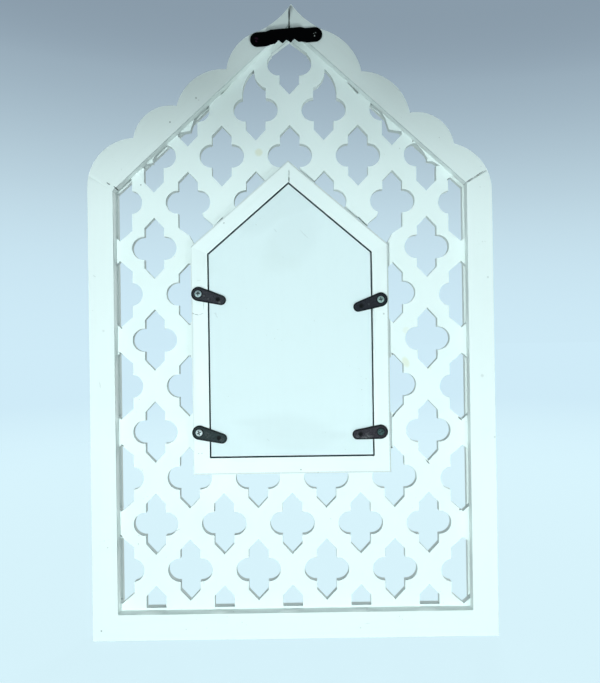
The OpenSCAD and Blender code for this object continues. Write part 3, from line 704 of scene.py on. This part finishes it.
def from_middle_line(n, along, across):
    """How far a point lies from a button's middle line, as a share of the half width there."""
    share = n.math("DIVIDE", along, SMALL_END_AT, clamp=True)
    past = n.math("SUBTRACT", along, n.math("MULTIPLY", share, SMALL_END_AT))
    squares = n.math("ADD", n.math("MULTIPLY", past, past), n.math("MULTIPLY", across, across))
    half_width = n.math("SUBTRACT", BIG_END, n.math("MULTIPLY", share, BIG_END - SMALL_END))
    return n.math("DIVIDE", n.math("SQRT", squares), half_width)


def worn_black(name, screw, angle, middle, scuffs):
    """Black lacquered steel: a darker rim, a scuffed middle, a dent drawn black as painted shade, and a dark
    ring under the screw.
    """
    material, n = new_material(name)
    place = n.place()
    local = n.mapped(n.vector("SUBTRACT", place, screw), turn=(0, math.radians(angle), 0))
    local = n.vector("MULTIPLY", local, (1 / MM, 0, 1 / MM))
    grain = n.noise(place, LACQUER_GRAIN, 4.0, 0.65)
    uneven = n.math("MULTIPLY", n.math("SUBTRACT", grain, 0.5), RIM_WEAR)
    outward = from_middle_line(n, n.component(local, X), n.component(local, Z))
    rim = n.ramp(n.math("ADD", outward, uneven), RIM_STARTS, RIM_FULL)
    shade = n.mix(n.ramp(grain, 0.35, 0.7), toned(middle, DARK_TINT), toned(middle, LIGHT_TINT))
    shade = n.mix(rim, shade, INK)
    worn = n.marks(n.vector("MULTIPLY", local, (MM, 0, MM)), scuffs)
    shade = n.mix(n.math("MULTIPLY", worn, n.ramp(grain, 0.42, 0.62, 0.1, 1.0)), shade, SCUFFED)
    from_dent = n.vector("LENGTH", n.vector("SUBTRACT", local, (DENT_AT, 0, 0)))
    # Painted shade: the dent is drawn black
    shade = n.mix(n.ramp(from_dent, DENT_OUTER, DENT_INNER), shade, DENT_SHADE_BLACK)
    ring = n.ramp(n.vector("LENGTH", local), RING_OUTER, RING_INNER, 0.0, RING_SHARE)
    shade = n.mix(ring, shade, INK)
    n.finish({
        "Base Color": shade,
        "Roughness": n.varied(grain, 0.5, 0.7),
        "Specular IOR Level": 0.1,
        "Normal": n.bump(n.noise(place, LACQUER_PEEL), 0.25, METAL_RELIEF),
    })
    return material


def zinc_screws():
    """Zinc pan heads, each in its own tone and dulled by a grain, with painted shade in the recesses and on
    the sides.
    """
    material, n = new_material("zinc_screws")
    place = n.place()
    grain = n.noise(place, METAL_GRAIN, 3.0, 0.6)
    shade, recess = BARE_ZINC, 0.0
    for corner, (tone, strokes) in SCREWS.items():
        offset = n.vector("MULTIPLY", n.vector("SUBTRACT", place, SCREW_SPOTS[corner]), (1, 0, 1))
        near = n.ramp(n.vector("LENGTH", offset), HEAD_OUTER, HEAD_INNER)
        shade = n.mix(near, shade, rgb(*tone))
        recess = n.math("MAXIMUM", recess, n.marks(offset, strokes))
    facing = n.math("ABSOLUTE", n.component(n.normal(), Y))
    sunk = n.ramp(n.component(place, Y), RECESS_TOP, RECESS_FLOOR)
    recess_floor = n.math("MULTIPLY", n.ramp(facing, HEAD_DOMED, HEAD_FLAT), sunk)
    side = n.ramp(facing, SIDE_STARTS, SIDE_FULL)
    # Painted shade in the recess, on its floor and on the head's side
    dark = n.math("MAXIMUM", n.math("MAXIMUM", recess, recess_floor), side)
    dulled = n.mix(1.0, shade, DULL_ZINC, "MULTIPLY")
    shade = n.mix(n.ramp(grain, 0.35, 0.75, 0.0, DULL_SHARE), shade, dulled)
    shade = n.mix(n.math("MULTIPLY", dark, SCREW_SHADE_SHARE), shade, SCREW_SHADE_BLACK)
    n.finish({
        "Base Color": shade,
        "Metallic": n.ramp(dark, 0.0, 1.0, 0.55, 0.0),
        "Roughness": n.varied(grain, 0.42, 0.6),
        "Specular IOR Level": 0.15,
        "Normal": n.bump(grain, 0.25, METAL_RELIEF),
    })
    return material


for corner, (angle, middle, scuffs) in BUTTONS.items():
    lacquer = worn_black(corner + "_button_lacquer", SCREW_SPOTS[corner], angle, middle, scuffs)
    dress([corner + "_button"], lacquer, BUTTON_EDGE)
dress(["button_screws"], zinc_screws(), SCREW_EDGE, SCREW_SHARPEST)


# Hanger, glass, dowels and brads

HANGER_SCUFFS = 600.0
HANGER_BLACK = rgb(0.0004, 0.0004, 0.0005)
HANGER_WORN = rgb(0.002, 0.002, 0.0022)
# Painted highlights: a purple sheen on the left nail and small glints on the right one
HANGER_SHEEN = [
    stroke((30.0, 526.8), (24.8, 524.2), 1.3, 0.4),
    stroke((28.8, 523.6), (26.0, 522.4), 0.7, 0.6),
]
HANGER_GLINTS = [dot(-23.0, 529.0, 0.55, 0.7), dot(-24.7, 529.6, 0.55, 0.75), dot(-23.7, 527.2, 0.7, 0.85)]
SHEEN_PURPLE = rgb(0.05, 0.015, 0.035)
GLINT_GREY = rgb(0.38, 0.38, 0.36)

GLASS_HAZE = 30.0
SILVER = rgb(0.90, 0.93, 0.92)
GLASS_GREEN = rgb(0.20, 0.42, 0.34)

PALE_WOOD = rgb(0.72, 0.54, 0.34)
BROWN_WOOD = rgb(0.52, 0.35, 0.2)
WOOD_RINGS = (900, 900, 40)
WOOD_RELIEF = 0.2 * MM

STEEL, STEEL_TINT = (0.6, 0.6, 0.6), 0.72


def black_hanger():
    """Dull black hanger and nails, with a painted purple sheen on the left nail and small painted glints on
    the right one.
    """
    material, n = new_material("hanger_black")
    place = n.place()
    scuff = n.noise(place, HANGER_SCUFFS, 3.0, 0.6)
    shade = n.mix(n.ramp(scuff, 0.5, 0.8), HANGER_BLACK, HANGER_WORN)
    shade = n.mix(n.marks(place, HANGER_SHEEN), shade, SHEEN_PURPLE)
    shade = n.mix(n.marks(place, HANGER_GLINTS), shade, GLINT_GREY)
    n.finish({
        "Base Color": shade,
        "Roughness": n.varied(scuff, 0.65, 0.8),
        "Specular IOR Level": 0.02,
        "Normal": n.bump(scuff, 0.2, METAL_RELIEF),
    })
    return material


def mirror():
    """Silvered glass: a mirror on its flat faces, green glass at the ground edge."""
    material, n = new_material("mirror_glass")
    edge = n.ramp(n.math("ABSOLUTE", n.component(n.normal(), Y)), 0.9, 0.5)
    haze = n.noise(n.place(), GLASS_HAZE, 3.0, 0.6)
    n.finish({
        "Base Color": n.mix(edge, SILVER, GLASS_GREEN),
        "Metallic": n.ramp(edge, 0.0, 1.0, 1.0, 0.0),
        "Roughness": n.ramp(haze, 0.3, 0.8, 0.015, 0.03),
    })
    return material


def bare_wood():
    """Unpainted wood with a fine upright grain."""
    material, n = new_material("bare_wood")
    rings = n.noise(n.mapped(n.place(), scale=WOOD_RINGS), 1.0, 3.0, 0.6)
    n.finish({
        "Base Color": n.mix(rings, PALE_WOOD, BROWN_WOOD),
        "Roughness": n.ramp(rings, 0.2, 0.8, 0.6, 0.75),
        "Normal": n.bump(rings, 0.3, WOOD_RELIEF),
    })
    return material


def brad_steel():
    """Grey steel with a fine grain."""
    material, n = new_material("brad_steel")
    grain = n.noise(n.place(), METAL_GRAIN, 3.0, 0.6)
    n.finish({
        "Base Color": n.mix(n.ramp(grain, 0.35, 0.75), rgb(*STEEL), toned(STEEL, STEEL_TINT)),
        "Metallic": 1.0,
        "Roughness": n.varied(grain, 0.35, 0.5),
        "Normal": n.bump(grain, 0.2, METAL_RELIEF),
    })
    return material


dress(["sawtooth_hanger", "hanger_nails"], black_hanger(), HANGER_EDGE)
dress(["mirror_glass"], mirror())
dress(["frame_dowels"], bare_wood())
dress(["mirror_frame_brads"], brad_steel())


# Floor and surroundings

GROUND = rgb(0.70, 0.92, 0.995)
HORIZON = rgb(0.625, 0.835, 0.94)
PAPER = rgb(0.80, 0.90, 0.93)
FIBRE_SHARE, PAPER_FIBRES = 0.06, rgb(0.7, 0.8, 0.83)
AMBIENT = rgb(0.80, 0.98, 1.0)
AMBIENT_STRENGTH = 0.30

FLOOR_REACH = 60.0
FLOOR_GRAIN = 240.0
FADE_STARTS, FADE_ENDS = 0.4, 2.5  # where the floor takes on the horizon's tone
GLOW_STARTS, GLOW_ENDS = 0.25, 1.2  # where the light and shadow on it fade out
GLOW_NEAR, GLOW_FAR = 0.93, 1.0

# The sky's tones by height, and how much darker it is toward the right of the picture

SKY = [
    (0.0, HORIZON),
    (0.13, rgb(0.60, 0.80, 0.905)),
    (0.26, rgb(0.51, 0.67, 0.76)),
    (0.42, rgb(0.29, 0.38, 0.46)),
    (0.5, rgb(0.245, 0.32, 0.39)),
]
DIMMER_SIDE = 0.09


def floor_paper():
    """Pale paper that mostly glows by itself, with a little of the light and shadow that falls on it."""
    material, n = new_material("floor_paper")
    place = n.place()
    from_middle = n.vector("LENGTH", place)
    tone = n.mix(n.ramp(from_middle, FADE_STARTS, FADE_ENDS), GROUND, HORIZON)
    fibres = n.math("MULTIPLY", n.noise(place, FLOOR_GRAIN, 3.0), FIBRE_SHARE)
    lit = n.add("ShaderNodeBsdfDiffuse", {"Color": n.mix(fibres, PAPER, PAPER_FIBRES)})
    glow = n.add("ShaderNodeEmission", {"Color": tone, "Strength": 1.0})
    share = n.ramp(from_middle, GLOW_STARTS, GLOW_ENDS, GLOW_NEAR, GLOW_FAR)
    both = n.add("ShaderNodeMixShader", {0: share, 1: lit.outputs[0], 2: glow.outputs[0]})
    n.add("ShaderNodeOutputMaterial", {"Surface": both.outputs[0]})
    return material


def floor():
    """A wide plane under the mirror, which is staging and lights nothing."""
    mesh = bpy.data.meshes.new("floor")
    corners = [(x * FLOOR_REACH, y * FLOOR_REACH, 0) for x, y in ((-1, -1), (1, -1), (1, 1), (-1, 1))]
    mesh.from_pydata(corners, [], [(0, 1, 2, 3)])
    mesh.materials.append(floor_paper())
    plane = add_to_scene("floor", mesh)
    plane.visible_diffuse = False
    return plane


def surroundings():
    """A sky that darkens upward for the camera and the mirror, and an even pale fill for matt surfaces."""
    world = bpy.data.worlds.new("studio")
    world.use_nodes = True
    world.node_tree.nodes.clear()
    n = Nodes(world.node_tree)
    direction = n.add("ShaderNodeTexCoord").outputs["Generated"]
    dimmer_side = n.math("MAXIMUM", n.math("MULTIPLY", n.component(direction, X), -1.0), 0.0)
    height = n.math("ADD", n.component(direction, Z), n.math("MULTIPLY", dimmer_side, DIMMER_SIDE))
    ramp = n.add("ShaderNodeValToRGB", {0: height})
    ramp.color_ramp.interpolation = "B_SPLINE"
    while len(ramp.color_ramp.elements) < len(SKY):
        ramp.color_ramp.elements.new(0.5)
    for element, (at, color) in zip(ramp.color_ramp.elements, SKY):
        element.position = at
        element.color = color
    seen = n.add("ShaderNodeBackground", {"Color": ramp.outputs[0], "Strength": 1.0})
    fill = n.add("ShaderNodeBackground", {"Color": AMBIENT, "Strength": AMBIENT_STRENGTH})
    matt = n.add("ShaderNodeLightPath").outputs["Is Diffuse Ray"]
    both = n.add("ShaderNodeMixShader", {0: matt, 1: seen.outputs[0], 2: fill.outputs[0]})
    n.add("ShaderNodeOutputWorld", {"Surface": both.outputs[0]})
    bpy.context.scene.world = world


# Lights

COOL = (0.823, 0.99, 1.0)
PALE = (0.9, 1.0, 1.0)

# Where the lights stand and aim. The wash aims below the floor, so the mirror's top meets its soft rim

BOARD_MIDDLE = (0, 0, 0.27)
KEY_SPOT, KEY_TARGET = (-0.30, 0.55, 0.03), (-0.09, BACK, 0.22)
WASH_SPOT, WASH_TARGET = (0.22, 1.15, 0.03), (0.089, BACK, -0.70)
TOP_SPOT, ARCH_TIP = (-0.26, 0.36, 0.02), (0.012, BACK, 0.554)
SOFT_SPOT, FILL_SPOT = (-0.85, -2.1, 1.25), (0.6, -2.2, 0.35)


def disk(size):
    return {"shape": "DISK", "size": size}


def cone(degrees, blend, radius):
    return {"spot_size": math.radians(degrees), "spot_blend": blend, "shadow_soft_size": radius}


def add_light(name, kind, spot, target, watts, color, form):
    """A light that the camera doesn't see, turned to its target."""
    data = bpy.data.lights.new(name, kind)
    data.energy = watts
    data.color = color
    for key, value in form.items():
        setattr(data, key, value)
    light = add_to_scene(name, data)
    light.location = spot
    light.rotation_euler = (Vector(target) - Vector(spot)).to_track_quat("-Z", "Y").to_euler()
    light.visible_camera = False
    return light


the_floor = floor()
surroundings()

# Behind the mirror: a key light low on the right, a wide wash low on the left, and a narrow light on the tip

back_lights = [
    add_light("key", "AREA", KEY_SPOT, KEY_TARGET, 0.73, COOL, disk(0.08)),
    add_light("wash", "SPOT", WASH_SPOT, WASH_TARGET, 39.6, COOL, cone(112.2, 0.223, 0.05)),
    add_light("top_light", "SPOT", TOP_SPOT, ARCH_TIP, 5.4, COOL, cone(15.0, 1.0, 0.022)),
]

# In front: two large soft lights that the mirror doesn't reflect

front_lights = [
    add_light("front_soft", "AREA", SOFT_SPOT, BOARD_MIDDLE, 34.0, PALE, disk(1.0)),
    add_light("front_fill", "AREA", FILL_SPOT, BOARD_MIDDLE, 9.0, PALE, disk(1.0)),
]
for light in front_lights:
    light.visible_glossy = False

shaded = bpy.data.collections.new("not_lit_from_behind")
shaded.objects.link(the_floor)
for light in back_lights:
    light.light_linking.receiver_collection = shaded
shaded.collection_objects[0].light_linking.link_state = "EXCLUDE"
